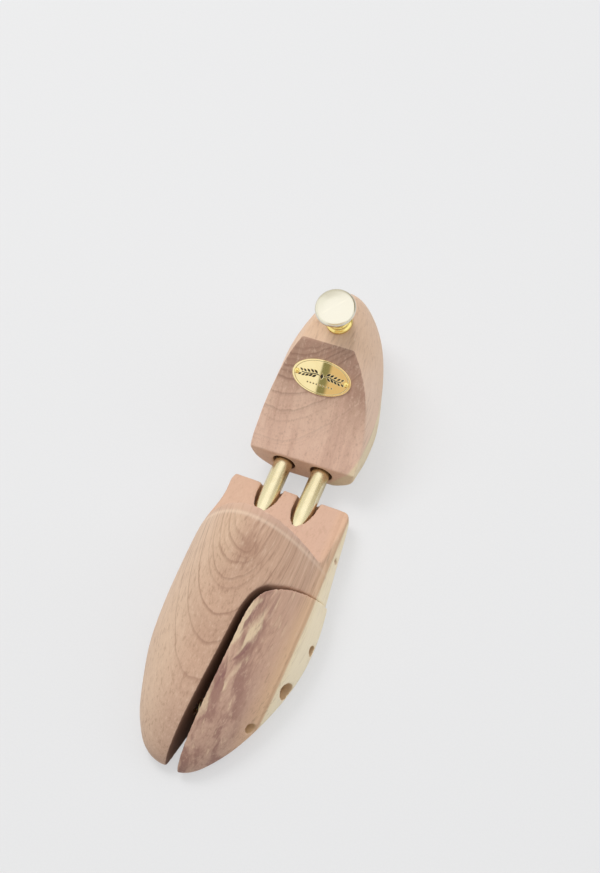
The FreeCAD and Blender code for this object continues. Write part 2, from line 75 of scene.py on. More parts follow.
# ======================================================================= mesh
def new_object(name, verts, faces, smooth=True):
    me = bpy.data.meshes.new(name)
    me.from_pydata([tuple(v) for v in verts], [], [tuple(f) for f in faces])
    me.update()
    me.validate()
    ob = bpy.data.objects.new(name, me)
    scene.collection.objects.link(ob)
    if smooth:
        me.polygons.foreach_set("use_smooth", [True] * len(me.polygons))
    return ob


def finish_piece(ob, mat, body, node=None):
    ob.data.materials.clear()
    ob.data.materials.append(mat)
    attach(ob, body)
    if node:
        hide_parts(*([node] if isinstance(node, str) else node))
    return ob


def frame_axes(axis):
    a = Vector(axis).normalized()
    t = Vector((0, 0, 1)) if abs(a.z) < 0.9 else Vector((0, 1, 0))
    u = t.cross(a).normalized()
    v = a.cross(u).normalized()
    return np.array(u), np.array(v), np.array(a)


def round_profile(pts, r=0.15, n=3):
    """(radius, height) profile with its corners rounded"""
    out = [pts[0]]
    for i in range(1, len(pts) - 1):
        a, b, c = (np.array(pts[j], float) for j in (i - 1, i, i + 1))
        d0, d1 = a - b, c - b
        l0, l1 = np.linalg.norm(d0), np.linalg.norm(d1)
        if l0 < 1e-6 or l1 < 1e-6:
            out.append(tuple(b))
            continue
        q = min(r, l0 * 0.45, l1 * 0.45)
        p0, p1 = b + d0 / l0 * q, b + d1 / l1 * q
        for k in range(n + 1):
            t = k / n
            p = (1 - t) ** 2 * p0 + 2 * t * (1 - t) * b + t * t * p1
            out.append((max(p[0], 0.0), p[1]))
    out.append(pts[-1])
    return out


def smooth_profile(pts, n=4):
    """Catmull-Rom through the points of a turned profile"""
    p = [np.array(q, float) for q in pts]
    p = [2 * p[0] - p[1]] + p + [2 * p[-1] - p[-2]]
    out = []
    for i in range(1, len(p) - 2):
        for k in range(n):
            t = k / n
            q = 0.5 * ((2 * p[i]) + (p[i + 1] - p[i - 1]) * t
                       + (2 * p[i - 1] - 5 * p[i] + 4 * p[i + 1] - p[i + 2]) * t * t
                       + (3 * p[i] - p[i - 1] - 3 * p[i + 1] + p[i + 2]) * t ** 3)
            out.append((max(float(q[0]), 0.0), float(q[1])))
    out.append(tuple(p[-2]))
    return out


def lathe(name, profile, origin, axis, segs=96, closed=False, sharp=28):
    """turned piece; profile in mm as (radius, height along axis), origin in the working frame.
    An open profile starts and ends on the axis; a closed one goes round a ring section."""
    u, v, a = frame_axes(axis)
    o = np.asarray(origin, float)
    verts, faces, rings = [], [], []
    for r, h in profile:
        if r < 1e-6:
            rings.append([len(verts)])
            verts.append(rf(o + a * h))
        else:
            ring = []
            for k in range(segs):
                t = 2 * math.pi * k / segs
                ring.append(len(verts))
                verts.append(rf(o + a * h + (u * math.cos(t) + v * math.sin(t)) * r))
            rings.append(ring)
    pairs = list(zip(rings[:-1], rings[1:]))
    if closed:
        pairs.append((rings[-1], rings[0]))
    for r0, r1 in pairs:
        for k in range(segs):
            k2 = (k + 1) % segs
            if len(r0) == 1 and len(r1) == 1:
                break
            if len(r0) == 1:
                faces.append((r0[0], r1[k2], r1[k]))
            elif len(r1) == 1:
                faces.append((r0[k], r0[k2], r1[0]))
            else:
                faces.append((r0[k], r0[k2], r1[k2], r1[k]))
    ob = new_object(name, verts, faces)
    fix_normals(ob)
    ob.data.set_sharp_from_angle(angle=math.radians(sharp))
    return ob


def fix_normals(ob):
    bm = bmesh.new()
    bm.from_mesh(ob.data)
    bmesh.ops.recalc_face_normals(bm, faces=bm.faces)
    bm.to_mesh(ob.data)
    bm.free()


def coil(name, p0, axis, length, r, wire, turns, steps=36, sides=10, dead=1.0):
    """compression spring with closed end turns; p0 and length are the faces it sits between"""
    u, v, a = frame_axes(axis)
    p0 = np.asarray(p0, float)
    total = int(turns * steps)
    z0, z1 = wire, length - wire
    pts = []
    live = turns - 2 * dead
    closed_pitch = 2 * wire * 1.02
    rise = (z1 - z0) - 2 * dead * closed_pitch
    for i in range(total + 1):
        t = i / steps
        if t < dead:
            h = z0 + closed_pitch * t
        elif t > turns - dead:
            h = z1 - closed_pitch * (turns - t)
        else:
            h = z0 + closed_pitch * dead + rise * (t - dead) / live
        ang = 2 * math.pi * t
        pts.append((h, ang))
    # ease the corners where the pitch changes
    hs = np.array([q[0] for q in pts])
    for _ in range(steps // 2):
        hs[1:-1] = (hs[:-2] + 2 * hs[1:-1] + hs[2:]) / 4
    cen = np.array([p0 + a * h + (u * math.cos(q[1]) + v * math.sin(q[1])) * r for h, q in zip(hs, pts)])
    tan = np.gradient(cen, axis=0)
    tan /= np.linalg.norm(tan, axis=1)[:, None]
    verts, faces = [], []
    for i, c in enumerate(cen):
        rad = u * math.cos(pts[i][1]) + v * math.sin(pts[i][1])
        bi = np.cross(tan[i], rad)
        for k in range(sides):
            t = 2 * math.pi * k / sides
            verts.append(rf(c + (rad * math.cos(t) + bi * math.sin(t)) * wire))
    n = len(cen)
    for i in range(n - 1):
        for k in range(sides):
            k2 = (k + 1) % sides
            faces.append((i * sides + k, i * sides + k2, (i + 1) * sides + k2, (i + 1) * sides + k))
    faces.append(tuple(range(sides)))
    faces.append(tuple((n - 1) * sides + k for k in range(sides))[::-1])
    ob = new_object(name, verts, faces)
    fix_normals(ob)
    ob.data.set_sharp_from_angle(angle=math.radians(50))
    return ob


def wood_block(node, name, voxel, passes, bores):
    """the block as it leaves the sanding drum: the designed solid with every arris
    softened. bores are (point, axis, radius, s0, s1) in the working frame, mm,
    whose walls are trued up again after the smoothing."""
    me = nodes[node].data.copy()
    bm = bmesh.new()
    bm.from_mesh(me)
    bmesh.ops.remove_doubles(bm, verts=bm.verts, dist=2e-6)
    bm.to_mesh(me)
    bm.free()
    ob = bpy.data.objects.new(name, me)
    scene.collection.objects.link(ob)
    mod = ob.modifiers.new("skin", "REMESH")
    mod.mode = "VOXEL"
    mod.voxel_size = voxel * MM
    mod.adaptivity = 0.0
    dg = bpy.context.evaluated_depsgraph_get()
    dg.update()
    done = bpy.data.meshes.new_from_object(ob.evaluated_get(dg))
    ob.modifiers.clear()
    ob.data = done
    bpy.data.meshes.remove(me)
    n = len(done.vertices)
    co = np.empty(n * 3, np.float64)
    done.vertices.foreach_get("co", co)
    co = co.reshape(-1, 3)
    e = np.empty(len(done.edges) * 2, np.int64)
    done.edges.foreach_get("vertices", e)
    e = e.reshape(-1, 2)
    deg = np.bincount(e.ravel(), minlength=n).astype(float)

    def relax(c, f):
        out = np.empty_like(c)
        for k in range(3):
            s = np.bincount(e[:, 0], weights=c[e[:, 1], k], minlength=n)
            s += np.bincount(e[:, 1], weights=c[e[:, 0], k], minlength=n)
            out[:, k] = s / deg
        return c + (out - c) * f

    for _ in range(passes):
        co = relax(co, 0.6)
    for p, axis, r, s0, s1 in bores:
        a = np.asarray(axis, float)
        a /= np.linalg.norm(a)
        d = co - rf(p)
        s = d @ a
        q = d - np.outer(s, a)
        rad = np.linalg.norm(q, axis=1)
        rr = r * MM
        near = (rad > rr - 0.6 * MM) & (rad < rr + 0.25 * MM) & (s > s0 * MM) & (s < s1 * MM)
        edge = np.minimum(s - s0 * MM, s1 * MM - s) / (0.8 * MM)
        w = np.clip(edge, 0, 1)[near, None]
        tgt = rf(p) + np.outer(s[near], a) + q[near] / rad[near, None] * rr
        co[near] = co[near] * (1 - w) + tgt * w
    done.vertices.foreach_set("co", co.astype(np.float32).ravel())
    done.polygons.foreach_set("use_smooth", [True] * len(done.polygons))
    done.update()
    return ob


# ================================================================== materials
class Mat:
    """a small shorthand for node trees"""

    def __init__(self, name):
        self.m = bpy.data.materials.new(name)
        self.m.use_nodes = True
        self.nt = self.m.node_tree
        self.nt.nodes.clear()
        self.out = self.nt.nodes.new("ShaderNodeOutputMaterial")

    def put(self, sock, val):
        if isinstance(val, bpy.types.NodeSocket):
            self.nt.links.new(val, sock)
        elif isinstance(val, (tuple, list)) and len(val) == 3 and sock.type == "RGBA":
            sock.default_value = (*val, 1.0)
        else:
            sock.default_value = val

    def node(self, kind, **props):
        n = self.nt.nodes.new(kind)
        for k, v in props.items():
            setattr(n, k, v)
        return n

    def math(self, op, a, b=None, c=None, clamp=False):
        n = self.node("ShaderNodeMath", operation=op, use_clamp=clamp)
        for i, v in enumerate((a, b, c)):
            if v is not None:
                self.put(n.inputs[i], v)
        return n.outputs[0]

    def add(self, *a):
        r = a[0]
        for b in a[1:]:
            r = self.math("ADD", r, b)
        return r

    def mul(self, *a):
        r = a[0]
        for b in a[1:]:
            r = self.math("MULTIPLY", r, b)
        return r

    def sub(self, a, b):
        return self.math("SUBTRACT", a, b)

    def step(self, x, lo, hi, a=0.0, b=1.0):
        n = self.node("ShaderNodeMapRange", interpolation_type="SMOOTHSTEP", clamp=True)
        for k, v in zip(("Value", "From Min", "From Max", "To Min", "To Max"), (x, lo, hi, a, b)):
            self.put(n.inputs[k], v)
        return n.outputs["Result"]

    def xyz(self, x, y, z):
        n = self.node("ShaderNodeCombineXYZ")
        for i, v in enumerate((x, y, z)):
            self.put(n.inputs[i], v)
        return n.outputs[0]

    def split(self, vec):
        n = self.node("ShaderNodeSeparateXYZ")
        self.put(n.inputs[0], vec)
        return n.outputs

    def noise(self, vec, detail=2.0, rough=0.5, distort=0.0, scale=1.0, dims="3D", w=None):
        n = self.node("ShaderNodeTexNoise", noise_dimensions=dims)
        if dims != "1D":
            self.put(n.inputs["Vector"], vec)
        if w is not None:
            self.put(n.inputs["W"], w)
        n.inputs["Scale"].default_value = scale
        n.inputs["Detail"].default_value = detail
        n.inputs["Roughness"].default_value = rough
        n.inputs["Distortion"].default_value = distort
        return n.outputs["Fac"]

    def mix(self, fac, a, b, blend="MIX"):
        n = self.node("ShaderNodeMix", data_type="RGBA", blend_type=blend, clamp_factor=True)
        self.put(n.inputs[0], fac)
        self.put(n.inputs[6], a)
        self.put(n.inputs[7], b)
        return n.outputs[2]

    def ramp(self, fac, stops, interp="LINEAR"):
        n = self.node("ShaderNodeValToRGB")
        r = n.color_ramp
        r.interpolation = interp
        stops = sorted(stops, key=lambda s: s[0])
        while len(r.elements) > 1:
            r.elements.remove(r.elements[-1])
        r.elements[0].position = stops[0][0]
        for s in stops[1:]:
            r.elements.new(s[0])
        for el, s in zip(r.elements, stops):
            c = s[1]
            el.color = (c, c, c, 1) if isinstance(c, (int, float)) else (*c, 1)
        self.put(n.inputs[0], fac)
        return n.outputs[0]

    def bump(self, height, strength, distance):
        n = self.node("ShaderNodeBump")
        n.inputs["Strength"].default_value = strength
        n.inputs["Distance"].default_value = distance
        self.put(n.inputs["Height"], height)
        return n.outputs[0]

    def surface(self, **kw):
        b = self.node("ShaderNodeBsdfPrincipled")
        for k, v in kw.items():
            self.put(b.inputs[k.replace("_", " ")], v)
        self.nt.links.new(b.outputs[0], self.out.inputs[0])
        return self.m

    def place(self):
        """object coordinates as x, y, z of the working frame, in mm"""
        tc = self.node("ShaderNodeTexCoord")
        s = self.split(tc.outputs["Object"])
        x = self.math("MULTIPLY", s[0], 1000.0)
        y = self.math("MULTIPLY_ADD", s[1], 1000.0, -90.0)
        z = self.math("MULTIPLY_ADD", s[2], 1000.0, -14.0)
        return x, y, z


def srgb(r, g, b, k=1.0):
    f = lambda c: (c / 255) / 12.92 if c / 255 <= 0.04045 else ((c / 255 + 0.055) / 1.055) ** 2.4
    return tuple(min(f(v) * k, 1.0) for v in (r, g, b))


def grain(m, x, y, z, seed=0.0):
    """fine fibres along the block, 0..1 around 0.5, coarse and fine"""
    a = m.noise(m.xyz(m.mul(x, 1.1), m.math("MULTIPLY_ADD", y, 0.045, seed), m.mul(z, 1.1)), 3.0, 0.6)
    b = m.noise(m.xyz(m.mul(x, 4.2), m.math("MULTIPLY_ADD", y, 0.16, seed + 7), m.mul(z, 4.2)), 2.0, 0.6)
    c = m.noise(m.xyz(m.mul(x, 0.42), m.math("MULTIPLY_ADD", y, 0.016, seed + 3), m.mul(z, 0.42)), 2.0, 0.55)
    return m.add(m.mul(a, 0.62), m.mul(c, 0.38)), b


def pores(m, x, y, z):
    """short dark flecks where resin cells are cut"""
    n = m.noise(m.xyz(m.mul(x, 3.0), m.mul(y, 0.35), m.mul(z, 3.0)), 1.0, 0.4, scale=1.3)
    return m.mul(m.step(n, 0.70, 0.80), 0.55)


def ring_lines(m, s, lines, lo, hi, soft=0.9, crisp=0.28):
    """late-wood lines at given levels of the ring field s: soft below, crisp above"""
    w = hi - lo
    stops = [(0.0, 0.0)]
    for lv, dark in sorted(lines):
        p = (lv - lo) / w
        stops += [(p - soft / w, 0.0), (p, dark), (p + crisp / w, 0.0)]
    clean, last = [], -1
    for p, c in stops:
        p = min(max(p, last + 1e-4), 1.0)
        clean.append((p, c))
        last = p
    fac = m.math("MULTIPLY_ADD", s, 1.0 / w, -lo / w, clamp=True)
    return m.ramp(fac, clean[:32])


def wood_finish(m, colour, height, rough=0.52):
    nrm = m.bump(height, 0.35, 0.00012)
    return m.surface(Base_Color=colour, Roughness=rough, Normal=nrm, Specular_IOR_Level=0.28,
                     Subsurface_Weight=0.0)


def sapwood_field(m, x, z, wob):
    return m.add(m.math("MULTIPLY_ADD", z, -0.32, x), -35.2, wob)


def gauss(m, *terms):
    """exp(-sum of squares)"""
    q = m.mul(terms[0], terms[0])
    for t in terms[1:]:
        q = m.add(q, m.mul(t, t))
    return m.math("POWER", 2.718, m.mul(q, -1.0))


def lin(m, v, c, w):
    """(v - c) / w"""
    return m.math("MULTIPLY_ADD", v, 1.0 / w, -c / w)


def in_bores(m, x, y, z, bores, slack=0.3):
    """1 on the walls of the drilled holes"""
    total = None
    for p, a, r, s0, s1 in bores:
        qx, qy, qz = (m.math("ADD", c, -float(v)) for c, v in zip((x, y, z), p))
        s = m.add(m.mul(qx, float(a[0])), m.mul(qy, float(a[1])), m.mul(qz, float(a[2])))
        d2 = m.sub(m.add(m.mul(qx, qx), m.mul(qy, qy), m.mul(qz, qz)), m.mul(s, s))
        rad = m.math("SQRT", m.math("MAXIMUM", d2, 0.0))
        g = m.mul(m.step(rad, r + slack, r + slack - 0.18), m.step(s, s0, s0 + 0.2), m.step(s, s1, s1 - 0.2))
        total = g if total is None else m.math("MAXIMUM", total, g)
    return total


def facing(m):
    geo = m.node("ShaderNodeNewGeometry")
    return m.split(geo.outputs["Normal"])


def cedar_forepart():
    m = Mat("cedar_forepart")
    x, y, z = m.place()
    slow = m.xyz(m.mul(x, 0.045), m.mul(y, 0.018), m.mul(z, 0.045))
    warp = m.math("MULTIPLY_ADD", m.noise(slow, 2.0, 0.5), 5.2, -2.6)
    wig = m.math("MULTIPLY_ADD", m.noise(m.xyz(m.mul(x, 0.20), m.mul(y, 0.075), m.mul(z, 0.20)), 2.0), 1.3, -0.65)
    # a small knot just ahead of the crown of the instep
    kd = gauss(m, lin(m, x, 4.0, 5.0), lin(m, y, -74.0, 6.5))
    bend = m.mul(m.math("POWER", m.math("ABSOLUTE", x), 2.0), -0.0095)
    s = m.add(z, bend, m.mul(warp, 0.42), m.mul(wig, 0.6), m.mul(kd, 2.4))
    upper = [(48.2, .5), (46.6, .8), (44.9, .35), (43.2, .8), (39.6, .8), (37.6, .45),
             (32.4, .85), (26.5, .85), (19.3, .65)]
    late = ring_lines(m, s, upper, 17.0, 52.0, 0.75, 0.22)
    late2 = ring_lines(m, s, [(-9.0, .4), (-2.0, .5), (7.0, .5)], -16.0, 18.0, 1.2, 0.35)
    fine = m.noise(None, 3.0, 0.6, dims="1D", w=m.mul(s, 0.85))
    broad = m.noise(None, 1.0, 0.5, dims="1D", w=m.mul(s, 0.16))
    g1, g2 = grain(m, x, y, z)
    heart = m.mix(m.step(broad, 0.35, 0.65), srgb(213, 176, 150), srgb(205, 168, 143))
    toe = m.step(y, -120.0, -165.0)
    heart = m.mix(m.mul(toe, 0.6), heart, srgb(204, 170, 148))
    # the tail, cut lower in the log, is pinker; its medial corner is more orange
    tail = m.step(y, -58.5, -54.5)
    heart = m.mix(tail, heart, srgb(214, 180, 160))
    heart = m.mix(m.mul(tail, m.step(x, -12.0, -20.0)), heart, srgb(214, 180, 155))
    # the medial flank and the crown of the instep are painted paler: partly paler wood, partly painted light falling
    # from the upper left
    pale_lit_flank = m.step(x, -2.0, -26.0)
    heart = m.mix(m.mul(pale_lit_flank, m.sub(1.0, tail), 0.75), heart, srgb(228, 200, 173))
    crown = gauss(m, lin(m, x, -9.0, 8.0), lin(m, y, -66.0, 22.0))
    heart = m.mix(m.mul(crown, 0.55), heart, srgb(228, 198, 168))
    col = m.mix(m.mul(kd, 0.55), heart, srgb(166, 126, 104))
    mott = m.noise(m.xyz(m.mul(x, 0.30), m.mul(y, 0.16), m.mul(z, 0.30)), 3.0, 0.6, 0.6)
    dash = m.noise(m.xyz(m.mul(x, 0.5), m.math("MULTIPLY_ADD", y, 0.09, 61.0), m.mul(z, 0.25)), 2.0, 0.5, 0.4)
    kd2 = gauss(m, lin(m, x, 1.0, 9.0), lin(m, y, -72.0, 13.0))
    col = m.mix(m.mul(m.step(mott, 0.55, 0.72), m.add(kd, 0.08), 0.5), col, srgb(150, 112, 96))
    col = m.mix(m.mul(m.step(dash, 0.56, 0.68), kd2, 0.60), col, srgb(142, 102, 84))
    on_top = m.math("MULTIPLY_ADD", tail, -0.8, 1.0)
    patch = m.noise(m.xyz(m.mul(x, 0.09), m.mul(y, 0.05), m.mul(z, 0.09)), 2.0, 0.5)
    fade = m.step(patch, 0.34, 0.54, 0.72, 1.0)
    col = m.mix(m.mul(late, on_top, fade, 0.60), col, srgb(146, 104, 84))
    col = m.mix(m.mul(late2, on_top, 0.16), col, srgb(170, 128, 104))
    col = m.mix(m.step(fine, 0.52, 0.74, 0.0, 0.07), col, srgb(160, 122, 100))
    col = m.mix(m.step(fine, 0.48, 0.28, 0.0, 0.08), col, srgb(230, 200, 172))
    q = sapwood_field(m, x, z, m.math("MULTIPLY_ADD", m.noise(slow, 2.0), 1.6, -0.8))
    band = m.ramp(m.math("MULTIPLY_ADD", q, 1 / 12.0, 9.0 / 12.0, clamp=True),
                  [(0.0, srgb(214, 178, 150)), (0.25, srgb(222, 185, 156)), (0.44, srgb(208, 168, 138)),
                   (0.50, srgb(230, 194, 162)), (0.64, srgb(224, 186, 150)), (0.71, srgb(216, 176, 142)),
                   (0.78, srgb(246, 230, 196)), (1.0, srgb(250, 236, 206))])
    col = m.mix(m.step(q, -9.0, -5.0), col, band)
    col = m.mix(m.step(g1, 0.51, 0.66, 0.0, 0.40), col, srgb(162, 123, 100))
    col = m.mix(m.step(g1, 0.48, 0.33, 0.0, 0.30), col, srgb(242, 216, 190))
    col = m.mix(m.step(g2, 0.52, 0.75, 0.0, 0.17), col, srgb(150, 114, 94))
    col = m.mix(m.step(q, 0.5, 2.0, 0.0, 0.6), col, band)
    col = m.mix(m.mul(pores(m, x, y, z), m.step(q, 1.0, -2.0, 0.03, 0.14)), col, srgb(124, 88, 70))
    col = arris_highlight(m, col)
    # the saw cut for the wing is painted dark as shade inside the gap; the drilled holes are left raw and are a little
    # darker
    nx, ny, nz = facing(m)
    # painted highlight: a pale line along the crest where the vamp drops to the tail
    crest_highlight = m.mul(gauss(m, lin(m, y, -58.0, 1.1)), m.step(nz, 0.25, 0.55))
    col = m.mix(m.mul(crest_highlight, 0.45), col, srgb(244, 220, 196))
    # painted shade on the forepart wall of the wing slot
    cut = m.mul(m.step(nx, 0.45, 0.75), m.step(x, 40.0, 36.0), m.step(y, -82.0, -86.0))
    col = m.mix(m.mul(cut, 0.80), col, srgb(104, 70, 54))
    tail = m.mul(m.step(y, -58.0, -55.5, 0.0, 0.55), m.step(nz, 0.5, 0.8))
    col = m.mix(tail, col, srgb(214, 176, 152))
    col = m.mix(m.mul(in_bores(m, x, y, z, fore_bores), 0.65), col, srgb(206, 160, 130))
    h = m.add(m.mul(g2, 0.6), m.mul(g1, 0.4), m.mul(late, -0.3))
    return wood_finish(m, col, h)


def arris_highlight(m, col, amount=0.4):
    """arrises are painted paler: a painted highlight along the rounded edges"""
    geo = m.node("ShaderNodeNewGeometry")
    p = m.step(geo.outputs["Pointiness"], 0.53, 0.58)
    return m.mix(m.mul(p, amount), col, srgb(244, 222, 200))


def cedar_wing():
    m = Mat("cedar_wing")
    x, y, z = m.place()
    slow = m.xyz(m.mul(x, 0.07), m.math("MULTIPLY_ADD", y, 0.03, 5.0), m.mul(z, 0.07))
    warp = m.math("MULTIPLY_ADD", m.noise(slow, 2.0, 0.5), 7.0, -3.5)
    s = m.add(m.mul(z, 0.55), m.mul(x, -0.8), warp)
    fine = m.noise(None, 3.0, 0.6, dims="1D", w=m.mul(s, 0.42))
    g1, g2 = grain(m, x, y, z, 13.0)
    col = m.mix(m.step(y, -150.0, -100.0), srgb(200, 164, 144), srgb(207, 169, 146))
    col = m.mix(m.step(fine, 0.50, 0.72, 0.0, 0.30), col, srgb(158, 120, 103))
    col = m.mix(m.step(fine, 0.46, 0.28, 0.0, 0.22), col, srgb(214, 180, 154))
    # heart stain, and stray tongues of pale wood near the saw cut
    wa = m.noise(m.xyz(m.mul(x, 0.10), m.math("MULTIPLY_ADD", y, 0.035, 3.0), m.mul(z, 0.10)), 2.0, 0.5)
    wb = m.noise(m.xyz(m.mul(x, 0.32), m.math("MULTIPLY_ADD", y, 0.10, 9.0), m.mul(z, 0.32)), 2.0, 0.55)
    xw = m.add(x, m.math("MULTIPLY_ADD", wa, 6.0, -3.0), m.math("MULTIPLY_ADD", wb, 2.4, -1.2))
    feather = m.noise(m.xyz(m.mul(x, 0.55), m.math("MULTIPLY_ADD", y, 0.045, 40.0), m.mul(z, 0.30)), 3.0, 0.55, 0.2)
    inner = m.step(x, 29.0, 21.0)
    mauve = m.noise(m.xyz(m.mul(xw, 0.17), m.math("MULTIPLY_ADD", y, 0.033, 31.0), m.mul(z, 0.10)), 3.0, 0.6, 0.4)
    col = m.mix(m.mul(m.step(mauve, 0.42, 0.60), inner, 0.80), col, srgb(156, 116, 105))
    for cx, cy, sl, wx, wy, amt in ((10.5, -113.0, 0.30, 2.9, 15.0, 0.95), (18.2, -110.0, 0.22, 2.1, 12.0, 0.95),
                                    (14.5, -98.0, 0.55, 1.7, 7.0, 0.7), (7.0, -149.0, 0.20, 2.2, 9.0, 0.7),
                                    (17.0, -130.0, 0.25, 1.0, 9.0, 0.4)):
        g = gauss(m, m.add(lin(m, xw, cx, wx), lin(m, y, cy, -wx / sl)), lin(m, y, cy, wy))
        g = m.mul(m.step(m.add(g, m.math("MULTIPLY_ADD", feather, 1.5, -0.75)), 0.10, 0.85), amt)
        col = m.mix(g, col, srgb(232, 208, 174))
    for cx, cy, sl, wx, wy, amt in ((14.6, -105.0, 0.30, 1.1, 6.5, 0.8), (17.0, -119.5, 0.35, 1.6, 7.0, 0.85),
                                    (11.5, -135.0, 0.25, 1.5, 7.0, 0.7), (7.6, -133.0, 0.30, 1.0, 5.0, 0.6)):
        g = gauss(m, m.add(lin(m, xw, cx, wx), lin(m, y, cy, -wx / sl)), lin(m, y, cy, wy))
        g = m.mul(m.step(m.add(g, m.math("MULTIPLY_ADD", feather, 0.8, -0.4)), 0.25, 0.75), amt)
        col = m.mix(g, col, srgb(146, 104, 98))
    q = sapwood_field(m, x, z, m.math("MULTIPLY_ADD", m.noise(slow, 2.0), 1.6, -0.8))
    band = m.ramp(m.math("MULTIPLY_ADD", q, 1 / 14.0, 11.0 / 14.0, clamp=True),
                  [(0.0, srgb(210, 172, 148)), (0.28, srgb(216, 178, 150)), (0.50, srgb(224, 186, 152)),
                   (0.60, srgb(230, 192, 156)), (0.68, srgb(212, 172, 138)), (0.74, srgb(222, 186, 150)),
                   (0.80, srgb(246, 230, 196)), (1.0, srgb(250, 236, 206))])
    col = m.mix(m.step(q, -13.0, -7.0), col, band)
    col = m.mix(m.step(g1, 0.51, 0.68, 0.0, 0.36), col, srgb(150, 112, 94))
    col = m.mix(m.step(g1, 0.48, 0.33, 0.0, 0.30), col, srgb(232, 204, 176))
    col = m.mix(m.step(g2, 0.52, 0.75, 0.0, 0.17), col, srgb(148, 110, 92))
    col = m.mix(m.step(q, 0.5, 2.0, 0.0, 0.6), col, band)
    col = m.mix(m.mul(pores(m, x, y, z), m.step(q, 1.0, -2.0, 0.03, 0.14)), col, srgb(120, 84, 68))
    col = arris_highlight(m, col, 0.6)
    nx, ny, nz = facing(m)
    # painted shade on the inner face of the wing, inside the gap to the forepart
    cut = m.mul(m.step(nx, -0.45, -0.75), m.step(m.math("ABSOLUTE", nz), 0.6, 0.4))
    col = m.mix(m.mul(cut, 0.75), col, srgb(108, 74, 58))
    col = m.mix(m.mul(in_bores(m, x, y, z, wing_bores), 0.85), col, srgb(214, 180, 138))
    h = m.add(m.mul(g2, 0.6), m.mul(g1, 0.4))
    return wood_finish(m, col, h)


def cedar_heel():
    m = Mat("cedar_heel")
    x, y, z = m.place()
    slow = m.xyz(m.mul(x, 0.06), m.math("MULTIPLY_ADD", y, 0.02, 17.0), m.mul(z, 0.06))
    warp = m.math("MULTIPLY_ADD", m.noise(slow, 2.0, 0.5), 6.0, -3.0)
    wig = m.math("MULTIPLY_ADD", m.noise(m.xyz(m.mul(x, 0.22), m.mul(y, 0.07), m.mul(z, 0.22)), 2.0), 2.0, -1.0)
    xx = m.add(x, 22.0)
    s = m.add(z, m.mul(m.mul(xx, xx), -0.0105), m.mul(warp, 0.55), m.mul(wig, 0.55))
    lines = [(12.5, .25), (23.2, .55), (28.6, .7), (34.0, .9), (36.4, .6), (38.4, .9), (40.4, .55), (42.2, .85),
             (44.4, .6)]
    late = ring_lines(m, s, lines, 10.0, 48.0, 1.0, 0.30)
    fine = m.noise(None, 3.0, 0.6, dims="1D", w=m.mul(s, 0.7))
    g1, g2 = grain(m, x, y, z, 29.0)
    # the inclined flat is cut across the fibres: it soaks up more oil, most of all near the top
    d = m.add(m.mul(z, 0.7826), m.mul(y, -0.6225), -6.574)
    flat = m.mul(m.step(m.math("ABSOLUTE", d), 0.55, 0.30), m.step(y, 0.2, 0.8))
    depth = m.math("MULTIPLY_ADD", m.noise(m.xyz(m.mul(x, 0.10), m.mul(y, 0.03), m.mul(z, 0.03)), 2.0, 0.5), 14.0, -7.0)
    high = m.step(m.add(z, m.mul(x, 0.05), depth), 25.0, 38.0)
    col = m.mix(m.step(y, 20.0, 60.0), srgb(234, 200, 178), srgb(230, 196, 166))
    side = m.step(m.math("ABSOLUTE", x), 17.0, 27.0)
    col = m.mix(m.mul(side, m.sub(1.0, flat), 0.7), col, srgb(234, 204, 180))
    col = m.mix(m.mul(flat, m.step(z, 14.0, 26.0), 0.5), col, srgb(218, 184, 160))
    col = m.mix(m.mul(flat, high, 0.86), col, srgb(172, 137, 118))
    stain = m.noise(m.xyz(m.mul(x, 0.13), m.mul(y, 0.016), m.mul(z, 0.02)), 2.0, 0.5, 0.5)
    col = m.mix(m.mul(flat, m.step(stain, 0.46, 0.68), 0.30), col, srgb(190, 148, 130))
    col = m.mix(m.mul(late, m.math("MULTIPLY_ADD", flat, 0.50, 0.06)), col, srgb(124, 88, 74))
    col = m.mix(m.step(fine, 0.52, 0.74, 0.0, 0.14), col, srgb(172, 132, 110))
    col = m.mix(m.step(fine, 0.46, 0.28, 0.0, 0.08), col, srgb(236, 206, 182))
    q = m.add(x, m.mul(m.add(z, 12.0), -0.75), -11.2, m.mul(warp, 0.3))
    col = m.mix(m.step(q, -1.5, 1.0, 0.0, 0.9), col, srgb(236, 220, 186))
    col = m.mix(m.step(g1, 0.51, 0.68, 0.0, 0.36), col, srgb(168, 130, 108))
    col = m.mix(m.step(g1, 0.48, 0.33, 0.0, 0.30), col, srgb(246, 220, 196))
    col = m.mix(m.step(g2, 0.52, 0.75, 0.0, 0.17), col, srgb(156, 118, 100))
    slope = m.noise(m.xyz(m.mul(x, 0.8), m.mul(m.add(y, z), 0.012), 7.7), 3.0, 0.6, 0.2)
    col = m.mix(m.mul(flat, m.step(slope, 0.50, 0.70, 0.0, 0.15)), col, srgb(172, 132, 112))
    col = m.mix(m.mul(flat, m.step(slope, 0.48, 0.30, 0.0, 0.13)), col, srgb(240, 212, 190))
    col = m.mix(m.mul(pores(m, x, y, z), m.math("MULTIPLY_ADD", flat, -0.07, 0.10)), col, srgb(124, 88, 70))
    col = arris_highlight(m, col, 0.3)
    # painted shade inside the tube sockets
    col = m.mix(m.mul(in_bores(m, x, y, z, heel_bores), 0.8), col, srgb(112, 76, 58))
    h = m.add(m.mul(g2, 0.6), m.mul(g1, 0.4), m.mul(late, -0.3))
    return wood_finish(m, col, h)


def dowel_wood():
    m = Mat("dowel_wood")
    x, y, z = m.place()
    t = m.add(m.mul(y, 0.7), m.mul(z, 0.7))
    n = m.noise(m.xyz(m.mul(t, 1.3), m.mul(x, 0.2), m.mul(m.sub(y, z), 0.12)), 4.0, 0.6)
    col = m.ramp(n, [(0.25, srgb(120, 92, 64)), (0.5, srgb(176, 142, 106)), (0.75, srgb(206, 172, 134))])
    return wood_finish(m, col, n, 0.6)


